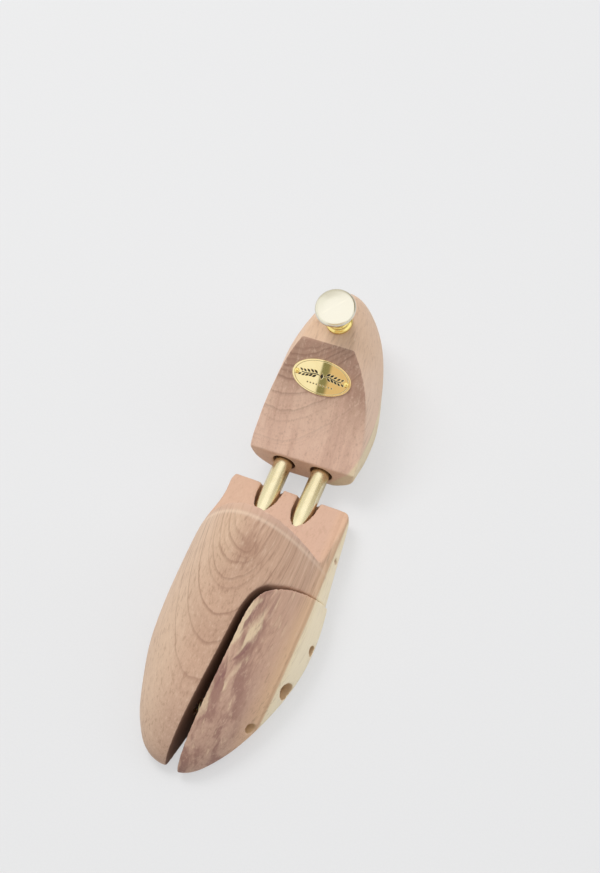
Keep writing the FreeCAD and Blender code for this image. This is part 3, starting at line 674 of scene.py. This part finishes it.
def metal(name, light, dark, rough, lines=(1, 1, 1), tarnish=0.25, bump=0.12, aniso=0.0, spread=0.06):
    """turned or drawn metal: fine tool lines, a little tone drift, slightly duller edges"""
    m = Mat(name)
    x, y, z = m.place()
    big = m.noise(m.xyz(m.mul(x, 0.12), m.mul(y, 0.12), m.mul(z, 0.12)), 3.0, 0.55)
    tiny = m.noise(m.xyz(m.mul(x, lines[0]), m.mul(y, lines[1]), m.mul(z, lines[2])), 2.0, 0.6)
    geo = m.node("ShaderNodeNewGeometry")
    worn = m.step(geo.outputs["Pointiness"], 0.52, 0.60)
    col = m.mix(m.step(big, 0.42, 0.68, 0.0, tarnish), light, dark)
    col = m.mix(m.mul(worn, 0.35), col, tuple(min(c * 1.08, 1.0) for c in light))
    col = m.mix(m.step(tiny, 0.4, 0.8, 0.0, 0.12), col, dark)
    rgh = m.add(rough, m.math("MULTIPLY_ADD", big, spread, -spread / 2), m.math("MULTIPLY_ADD", tiny, spread, -spread / 2))
    nrm = m.bump(tiny, bump, 0.00004)
    return m.surface(Base_Color=col, Metallic=1.0, Roughness=rgh, Normal=nrm)


def plate_metal():
    m = Mat("polished_plate")
    x, y, z = m.place()
    tiny = m.noise(m.xyz(m.mul(x, 0.6), m.mul(y, 9.0), m.mul(z, 9.0)), 2.0, 0.6)
    big = m.noise(m.xyz(m.mul(x, 0.15), m.mul(y, 0.15), m.mul(z, 0.15)), 3.0, 0.55)
    at = m.node("ShaderNodeAttribute", attribute_name="engraved")
    e = at.outputs["Fac"]
    col = m.mix(m.step(big, 0.4, 0.7, 0.0, 0.3), (0.93, 0.80, 0.47), (0.86, 0.68, 0.34))
    col = m.mix(e, col, (0.022, 0.017, 0.010))
    met = m.math("MULTIPLY_ADD", e, -0.7, 1.0)
    rgh = m.add(m.math("MULTIPLY_ADD", e, 0.4, 0.02), m.mul(tiny, 0.015))
    return m.surface(Base_Color=col, Metallic=met, Roughness=rgh, Normal=m.bump(tiny, 0.02, 0.000006))


# =============================================================== wood blocks
half = 21.3 / 2
tilt = math.radians(4.0)
inward = np.array([-math.cos(tilt), math.sin(tilt), 0.0])
mouths = {"front": (31.2, -147.7), "main": (40.3, -122.9), "rear": (44.4, -97.5)}


def along(which, s):
    mx, my = mouths[which]
    return np.array([mx + inward[0] * s, my + inward[1] * s, -1.2])


VOX = 0.55
Y = (0, 1, 0)
fore_bores = []
for sx in (-1, 1):
    fore_bores.append(((sx * half, -60, 0), Y, 5.0, -2.0, 21.5))
    fore_bores.append(((sx * half, -38, 0), Y, 6.5, 0.5, 24.0))
fore_bores += [(along("front", 0), inward, 4.5, 18.6, 37.3), (along("rear", 0), inward, 4.5, 24.6, 42.1),
               (along("main", 0), inward, 4.6, 20.0, 46.5)]
heel_bores = []
for sx in (-1, 1):
    heel_bores.append(((sx * half, 0, 0), Y, 6.3, 0.6, 7.6))
    heel_bores.append(((sx * half, 0, 0), Y, 5.075, 8.4, 53.5))
wing_bores = [(along("main", 0), inward, 4.6, -4.0, 40.0),
              (along("front", 0), inward, 4.5, 14.6, 30.0), (along("rear", 0), inward, 4.5, 20.6, 35.0),
              (along("front", 0), inward, 2.8, -4.0, 4.8), (along("rear", 0), inward, 2.8, -4.0, 5.2)]

WOOD_F, WOOD_W, WOOD_H, WOOD_D = cedar_forepart(), cedar_wing(), cedar_heel(), dowel_wood()
SATIN = metal("satin_brass", (0.83, 0.75, 0.52), (0.70, 0.58, 0.33), 0.26, lines=(7, 0.5, 7), spread=0.08)
KNOB = metal("polished_brass", (0.78, 0.755, 0.67), (0.74, 0.71, 0.60), 0.22, lines=(0.5, 0.5, 0.5), tarnish=0.12,
             bump=0.04, spread=0.03)
BASE = metal("polished_brass_base", (0.90, 0.74, 0.30), (0.80, 0.60, 0.18), 0.10, lines=(3, 3, 3), bump=0.05)
STEEL = metal("steel", (0.62, 0.61, 0.59), (0.42, 0.41, 0.39), 0.28, lines=(3, 3, 3))
SPRING = metal("spring_steel", (0.46, 0.45, 0.44), (0.26, 0.25, 0.24), 0.30, lines=(4, 4, 4))
BRASSED = metal("brassed_spring", (0.88, 0.76, 0.46), (0.60, 0.48, 0.26), 0.34, lines=(4, 4, 4))
PLATE = plate_metal()

fore = wood_block("forepart_block", "forepart_wood", VOX, 6, fore_bores)
finish_piece(fore, WOOD_F, "forepart", "forepart_block")
wing = wood_block("toe_wing", "toe_wing_wood", VOX, 6, wing_bores)
finish_piece(wing, WOOD_W, "wing", "toe_wing")
heel = wood_block("heel_block", "heel_wood", VOX, 6, heel_bores)
finish_piece(heel, WOOD_H, "heel", "heel_block")

# ================================================================ small parts
dow = lathe("dowel_plug", round_profile([(0, 0), (4.6, 0), (4.6, 8.4), (0, 8.4)], 0.45),
            along("main", 3.6), inward, 64)
finish_piece(dow, WOOD_D, "wing", "wing_dowel")

pins = {"front": (3.6, 14.6, 37.8, 46.0), "rear": (4.0, 20.6, 42.6, 52.5)}
for w, (h0, p0, p1, st) in pins.items():
    prof = round_profile([(0, 0), (2.1, 0), (2.1, 1.6), (1.3, 1.6), (1.3, st - h0 - 2.0), (0, st - h0)], 0.35)
    ob = lathe("guide_pin_" + w, prof, along(w, h0), inward, 48)
    finish_piece(ob, STEEL, "forepart", "wing_%s_pin" % w)
    ob = coil("spread_spring_" + w, along(w, p0 + 0.1), inward, p1 - p0 - 0.2, {"front": 2.65, "rear": 3.1}[w], 0.5, 7)
    finish_piece(ob, BRASSED, "forepart", "wing_%s_spring" % w)
    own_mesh(ob)
ob = coil("spread_spring_main", along("main", 12.1), inward, 34.8, 3.35, 0.45, 13)
finish_piece(ob, BRASSED, "forepart", "wing_main_spring")
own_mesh(ob)


def drawn_tube(name, x):
    """tube with rounded ends and a long slot each side for the heel pin"""
    r0, r1, y0, y1 = 4.2, 5.0, -62.0, 36.0
    prof = round_profile([(r0, 40.0), (r0, 0.0), (r1, 0.0), (r1, y1 - y0), (r0, y1 - y0), (r0, 40.001)], 0.22)
    ob = lathe(name, prof[:-1], (x, y0, 0), (0, 1, 0), 96, closed=True)
    a, b, w = 10.5 + 1.7, 27.8 - 1.7, 1.7
    pts = []
    for k in range(25):
        t = math.pi / 2 + math.pi * k / 24
        pts.append((a + w * math.cos(t), w * math.sin(t)))
    for k in range(25):
        t = -math.pi / 2 + math.pi * k / 24
        pts.append((b + w * math.cos(t), w * math.sin(t)))
    vs = [rf((x - 8, p[0], p[1])) for p in pts] + [rf((x + 8, p[0], p[1])) for p in pts]
    n = len(pts)
    fs = [tuple(range(n)), tuple(range(n, 2 * n))[::-1]] + [(i, (i + 1) % n, n + (i + 1) % n, n + i) for i in range(n)]
    cut = new_object("cutter", vs, fs, False)
    fix_normals(cut)
    mod = ob.modifiers.new("slot", "BOOLEAN")
    mod.operation, mod.solver, mod.object = "DIFFERENCE", "EXACT", cut
    dg = bpy.context.evaluated_depsgraph_get()
    dg.update()
    me = bpy.data.meshes.new_from_object(ob.evaluated_get(dg))
    ob.modifiers.clear()
    ob.data = me
    bpy.data.objects.remove(cut)
    me.polygons.foreach_set("use_smooth", [True] * len(me.polygons))
    me.set_sharp_from_angle(angle=math.radians(35))
    return ob


for side, sx in (("left", -1), ("right", 1)):
    x = sx * half
    tube = drawn_tube("brass_tube_" + side, x)
    finish_piece(tube, SATIN, "forepart", side + "_tube")
    s0, s1 = -38.35, 19.3
    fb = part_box(side + "_tube_spring")
    s0, s1 = fb[0].y / MM - 90.0, fb[1].y / MM - 90.0
    ob = coil("travel_spring_" + side, (x, s0, 0), (0, 1, 0), s1 - s0, 3.45, 0.55, 20)
    finish_piece(ob, SPRING, "forepart", side + "_tube_spring")
    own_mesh(ob)
    plug = lathe("spring_seat_" + side, round_profile([(0, 0), (4.2, 0), (4.2, 6), (2.6, 6), (2.6, 8.2), (1.8, 9), (0, 9)],
                                                      0.25), (x, -46 + 1.6, 0), (0, 1, 0), 56)
    finish_piece(plug, STEEL, "forepart", side + "_spring_seat")
    slug = lathe("spring_follower_" + side, round_profile([(0, 7), (4.1, 7), (4.1, 2), (2.6, 2), (2.6, 0.6), (2, 0), (0, 0)],
                                                          0.25), (x, 26 - 1.6 - 7.05, 0), (0, 1, 0), 56)
    finish_piece(slug, STEEL, "heel", side + "_spring_follower")

for name, node, x0, x1, y, body in (("cross_pin_toe", "toe_cross_pin", -24.0, 30.0, -46.0, "forepart"),
                                    ("cross_pin_heel", "heel_cross_pin", -25.0, 25.0, 26.0, "heel")):
    L = x1 - x0
    ob = lathe(name, round_profile([(0, 0), (1.2, 0), (1.6, 0.4), (1.6, L - 0.4), (1.2, L), (0, L)], 0.2),
               (x0, y, 0), (1, 0, 0), 40)
    finish_piece(ob, STEEL, body, node)

# ======================================================================= knob
ta, fa = math.radians(8.6), math.radians(38.5)
ft = np.array([0.0, 64.0 * math.cos(fa), 8.4 + 64.0 * math.sin(fa)])
kn = np.array([0.0, -math.sin(ta), math.cos(ta)])
kp = ft + 14.1 * np.array([0.0, math.cos(ta), math.sin(ta)])
b = 7.2
prof = round_profile([(2.2, 0), (b, 0), (b, 0.9), (b - 0.35, 1.5), (b - 1.2, 1.9), (b - 1.5, 2.3), (b - 1.7, 3.1),
                      (b - 2.3, 3.6), (2.2, 3.6)], 0.3, 4)
ob = lathe("knob_collar", prof, kp, kn, 128, closed=True, sharp=40)
finish_piece(ob, BASE, "heel", "knob_base")
k = 10.85
stem = smooth_profile([(4.6, 4.4), (3.5, 5.2), (3.05, 6.6), (3.0, 8.2), (3.3, 9.8), (4.2, 11.6), (5.8, 13.3),
                       (7.8, 14.6), (9.7, 15.5), (k - 0.35, 16.3), (k, 17.0), (k, 17.9), (k - 0.35, 18.6),
                       (k - 1.1, 19.1), (k - 3.0, 19.55), (k - 6.0, 20.08), (k - 9.4, 20.38)], 4)
prof = round_profile([(2.2, 3.6), (4.6, 3.6), (4.6, 4.4)], 0.25)[:-1] + stem + [(0, 20.4), (0, 11.0), (2.2, 11.0)]
ob = lathe("knob_cap", prof, kp, kn, 144, closed=True, sharp=50)
finish_piece(ob, KNOB, "heel", "knob_head")
ob = lathe("knob_screw_turned", [(0, -22), (0.5, -21.2)] + [(2.2 - (0.35 if i % 2 else 0.0), -18.5 + i * 0.6) for i in range(31)]
           + [(2.2, 0.2), (2.2, 11.0), (0, 11.0)], kp, kn, 40)
finish_piece(ob, STEEL, "heel", "knob_screw")

# ================================================================== nameplate
fn = np.array([0.0, -math.sin(fa), math.cos(fa)])
fu = np.array([0.0, math.cos(fa), math.sin(fa)])
ex = np.array([1.0, 0.0, 0.0])
pc = np.array([0.0, 46.3 * math.cos(fa), 8.4 + 46.3 * math.sin(fa)])
PA, PB, PT = 16.5, 9.4, 0.9


def sprig(u, v):
    """plain leaf ornament inside a fine border line: 1 where the plate is engraved"""
    rho = np.sqrt((u / PA) ** 2 + (v / PB) ** 2)
    e = np.clip(1 - np.abs((rho - 0.905) * PB) / 0.15, 0, 1) * 0.6
    au = np.abs(u)
    wave = lambda q: 0.7 + 0.45 * np.sin(q * 0.5)
    e = np.maximum(e, np.clip((0.30 - np.abs(v - wave(au))) / 0.12, 0, 1) * (au > 1.2) * (au < 11.2))
    for i in range(5):
        c = 2.6 + i * 2.0
        for sgn in (-1, 1):
            big = 1.0 - 0.06 * i
            cu, cv = c + 0.9 + 0.5 * (sgn < 0), wave(c) + sgn * 1.25
            t = sgn * math.radians(36)
            du, dv = au - cu, v - cv
            a_ = (du * math.cos(t) + dv * math.sin(t)) / (1.45 * big)
            b_ = (-du * math.sin(t) + dv * math.cos(t)) / (0.66 * big)
            f = a_ ** 2 + np.abs(b_) * (1.0 + 0.35 * a_ ** 2) * 1.0
            e = np.maximum(e, np.clip((1.0 - f) / 0.16, 0, 1))
    f = np.abs(u) / 0.95 + np.abs(v - 0.7) / 1.7
    e = np.maximum(e, np.clip((1.1 - f) / 0.15, 0, 1))
    for i in range(-4, 5):
        f = ((u - i * 1.7) / 0.40) ** 2 + ((v + 4.1) / 0.40) ** 2
        e = np.maximum(e, np.clip((1.3 - f) / 0.5, 0, 1) * 0.75)
    return e


def make_plate():
    nr, na = 110, 420
    verts, faces, eng = [], [], []
    rows = []
    radii = [0.0] + [(i / nr) ** 0.9 for i in range(1, nr + 1)]
    crown = 0.42
    for i, ro in enumerate(radii):
        row = []
        if i == 0:
            ang = [0.0]
        else:
            ang = [2 * math.pi * j / na for j in range(na)]
        for t in ang:
            u, v = PA * ro * math.cos(t), PB * ro * math.sin(t)
            e = float(sprig(np.array(u), np.array(v)))
            inner = (1 - ro) * PB
            lip = 0.3 - math.sqrt(max(0.09 - (0.3 - min(inner, 0.3)) ** 2, 0.0)) if inner < 0.3 else 0.0
            h = PT - 0.12 + crown * (1 - ro * ro) * 0.62 - lip - 0.07 * e
            row.append(len(verts))
            verts.append(rf(pc + ex * u + fu * v + fn * h))
            eng.append(e)
        rows.append(row)
    row = []
    for j in range(na):
        t = 2 * math.pi * j / na
        row.append(len(verts))
        verts.append(rf(pc + ex * PA * math.cos(t) + fu * PB * math.sin(t)))
        eng.append(0.0)
    rows.append(row)
    c = len(verts)
    verts.append(rf(pc))
    eng.append(0.0)
    for j in range(na):
        faces.append((rows[0][0], rows[1][j], rows[1][(j + 1) % na]))
        faces.append((c, rows[-1][(j + 1) % na], rows[-1][j]))
    for r0, r1 in zip(rows[1:-1], rows[2:]):
        for j in range(na):
            faces.append((r0[j], r1[j], r1[(j + 1) % na], r0[(j + 1) % na]))
    ob = new_object("oval_plate", verts, faces)
    fix_normals(ob)
    at = ob.data.attributes.new("engraved", "FLOAT", "POINT")
    at.data.foreach_set("value", np.array(eng, np.float32))
    ob.data.set_sharp_from_angle(angle=math.radians(60))
    return ob


finish_piece(make_plate(), PLATE, "heel", "nameplate")

pin_objs = []
for sx in (-1, 1):
    prof = smooth_profile([(1.5, PT - 0.1), (1.42, PT + 0.3), (1.15, PT + 0.62), (0.7, PT + 0.85), (0.0, PT + 0.95)], 4)
    prof = [(0, -7.5), (0.6, -6.3), (0.6, PT - 0.1)] + prof
    pin_objs.append(lathe("plate_pin_%s" % ("left" if sx < 0 else "right"), prof, pc + ex * sx * 14.0, fn, 48))
for ob in pin_objs:
    finish_piece(ob, BASE, "heel", "nameplate_pins")

# ============================================================ floor and light
z0 = cad_lo.z
R = 4.0
n = 48
fl_v, fl_f = [(0, 0, z0)], []
rings = [0.25 * (R / 0.25) ** (i / 10) for i in range(11)]
for r in rings:
    for j in range(n):
        t = 2 * math.pi * j / n
        fl_v.append((r * math.cos(t), r * math.sin(t), z0))
for j in range(n):
    fl_f.append((0, 1 + j, 1 + (j + 1) % n))
for i in range(len(rings) - 1):
    for j in range(n):
        a0, a1 = 1 + i * n, 1 + (i + 1) * n
        fl_f.append((a0 + j, a1 + j, a1 + (j + 1) % n, a0 + (j + 1) % n))
floor = new_object("studio_floor", fl_v, fl_f, False)
fm = Mat("studio_paper")
tc = fm.node("ShaderNodeTexCoord")
fib = fm.noise(tc.outputs["Object"], 3.0, 0.6, scale=900.0)
pap = fm.mix(fm.step(fib, 0.3, 0.7), (0.275, 0.277, 0.281), (0.285, 0.287, 0.291))
flp = fm.node("ShaderNodeLightPath")
pap = fm.mix(flp.outputs["Is Camera Ray"], (0.80, 0.80, 0.80), pap)
diff = fm.node("ShaderNodeBsdfDiffuse")
fm.put(diff.inputs["Color"], pap)
glow = fm.node("ShaderNodeEmission")
glow.inputs["Color"].default_value = (1, 1, 1, 1)
fx, fy, fz = fm.split(tc.outputs["Object"])
away = fm.math("SQRT", fm.add(fm.mul(fx, fx), fm.mul(fy, fy)))
fm.put(glow.inputs["Strength"], fm.mul(flp.outputs["Is Camera Ray"], fm.step(away, 0.35, 1.9, 0.535, 0.795)))
addsh = fm.node("ShaderNodeAddShader")
fm.nt.links.new(diff.outputs[0], addsh.inputs[0])
fm.nt.links.new(glow.outputs[0], addsh.inputs[1])
fm.nt.links.new(addsh.outputs[0], fm.out.inputs[0])
floor.data.materials.append(fm.m)

world = bpy.data.worlds.new("studio")
scene.world = world
world.use_nodes = True
w = Mat.__new__(Mat)
w.nt = world.node_tree
w.nt.nodes.clear()
w.out = w.nt.nodes.new("ShaderNodeOutputWorld")
tc = w.node("ShaderNodeTexCoord")
dx, dy, dz = w.split(tc.outputs["Generated"])
lp = w.node("ShaderNodeLightPath")
# what polished metal sees: a broad overhead box, darker walls, and a flagged strip in front
f = w.add(w.mul(dx, -0.755), w.mul(dz, 0.656))
wide = w.step(f, 0.16, 0.30)
near = w.mul(w.step(dy, 0.42, 0.38), w.step(dz, 0.0, 0.2))
core = w.step(w.add(dz, w.mul(dx, 0.07)), 0.66, 0.84)
env = w.mix(w.math("MAXIMUM", wide, near), (0.33, 0.27, 0.16), (0.80, 0.77, 0.66))
env = w.mix(near, env, (1.06, 1.05, 0.95))
env = w.mix(w.mul(core, w.step(dy, -0.42, -0.3)), env, (1.26, 1.24, 1.18))
env = w.mix(w.step(dz, -0.05, -0.35), env, (0.55, 0.53, 0.48))
strip = w.ramp(w.math("MULTIPLY_ADD", dx, 1.0, 0.75, clamp=True),
               [(0.0, (1.05, 1.05, 0.98)), (0.499, (1.02, 1.0, 0.92)), (0.500, (0.26, 0.26, 0.15)),
                (0.519, (0.28, 0.27, 0.16)), (0.520, (0.78, 0.59, 0.38)), (1.0, (0.72, 0.54, 0.34))])
env = w.mix(w.mul(w.step(dy, -0.42, -0.55), w.step(dz, 0.30, 0.42)), env, strip)
pale = (0.815, 0.815, 0.815)
low = w.mix(w.step(dy, 0.1, -0.6), (0.46, 0.46, 0.47), (0.08, 0.08, 0.082))
amb = w.mix(w.step(dz, 0.05, 0.8), low, (0.56, 0.56, 0.57))
col = w.mix(lp.outputs["Is Glossy Ray"], amb, env)
col = w.mix(lp.outputs["Is Camera Ray"], col, pale)
bg = w.node("ShaderNodeBackground")
w.put(bg.inputs[0], col)
bg.inputs[1].default_value = 1.0
w.nt.links.new(bg.outputs[0], w.out.inputs[0])


def area(name, loc, target, size, watts, colour=(1, 1, 1)):
    d = bpy.data.lights.new(name, "AREA")
    d.shape = "RECTANGLE"
    d.size, d.size_y = size
    d.energy = watts
    d.color = colour
    ob = bpy.data.objects.new(name, d)
    scene.collection.objects.link(ob)
    ob.location = loc
    ob.rotation_mode = "QUATERNION"
    ob.rotation_quaternion = (Vector(target) - Vector(loc)).to_track_quat("-Z", "Y")
    ob.visible_glossy = False
    return ob


mid = (0.0, 0.04, 0.03)
area("key", (-0.62, 0.45, 1.35), mid, (0.7, 0.7), 11.0, (1.0, 0.99, 0.975))
area("top", (0.25, 0.1, 1.6), mid, (1.2, 1.2), 2.0)
area("fill", (1.2, 0.5, 0.8), mid, (1.0, 1.0), 3.5, (0.98, 0.99, 1.0))

# ====================================================================== camera
rt = Vector((0.92598, 0.36939, -0.07814))
dn = Vector((0.28412, -0.81801, -0.50014))
fw = Vector((-0.24866, 0.44092, -0.86241))
cam = bpy.data.cameras.new("camera")
cam.sensor_fit = "AUTO"
cam.sensor_width = 36.0
cam.lens = 2400.0 * 36.0 / 873.0
cam.clip_start, cam.clip_end = 0.05, 50.0
cam_ob = bpy.data.objects.new("camera", cam)
scene.collection.objects.link(cam_ob)
rot = Matrix((rt, -dn, -fw)).transposed()
rot = rot.to_quaternion().normalized()
cam_ob.rotation_mode = "QUATERNION"
cam_ob.rotation_quaternion = rot
cam_ob.location = (0.3128, -0.4614, 1.1279)
scene.camera = cam_ob

scene.view_settings.view_transform = "Standard"
scene.view_settings.look = "None"
scene.view_settings.exposure = 0.0
scene.view_settings.gamma = 1.0
scene.cycles.use_denoising = True
scene.cycles.max_bounces = 8
scene.cycles.diffuse_bounces = 4
scene.cycles.glossy_bounces = 5
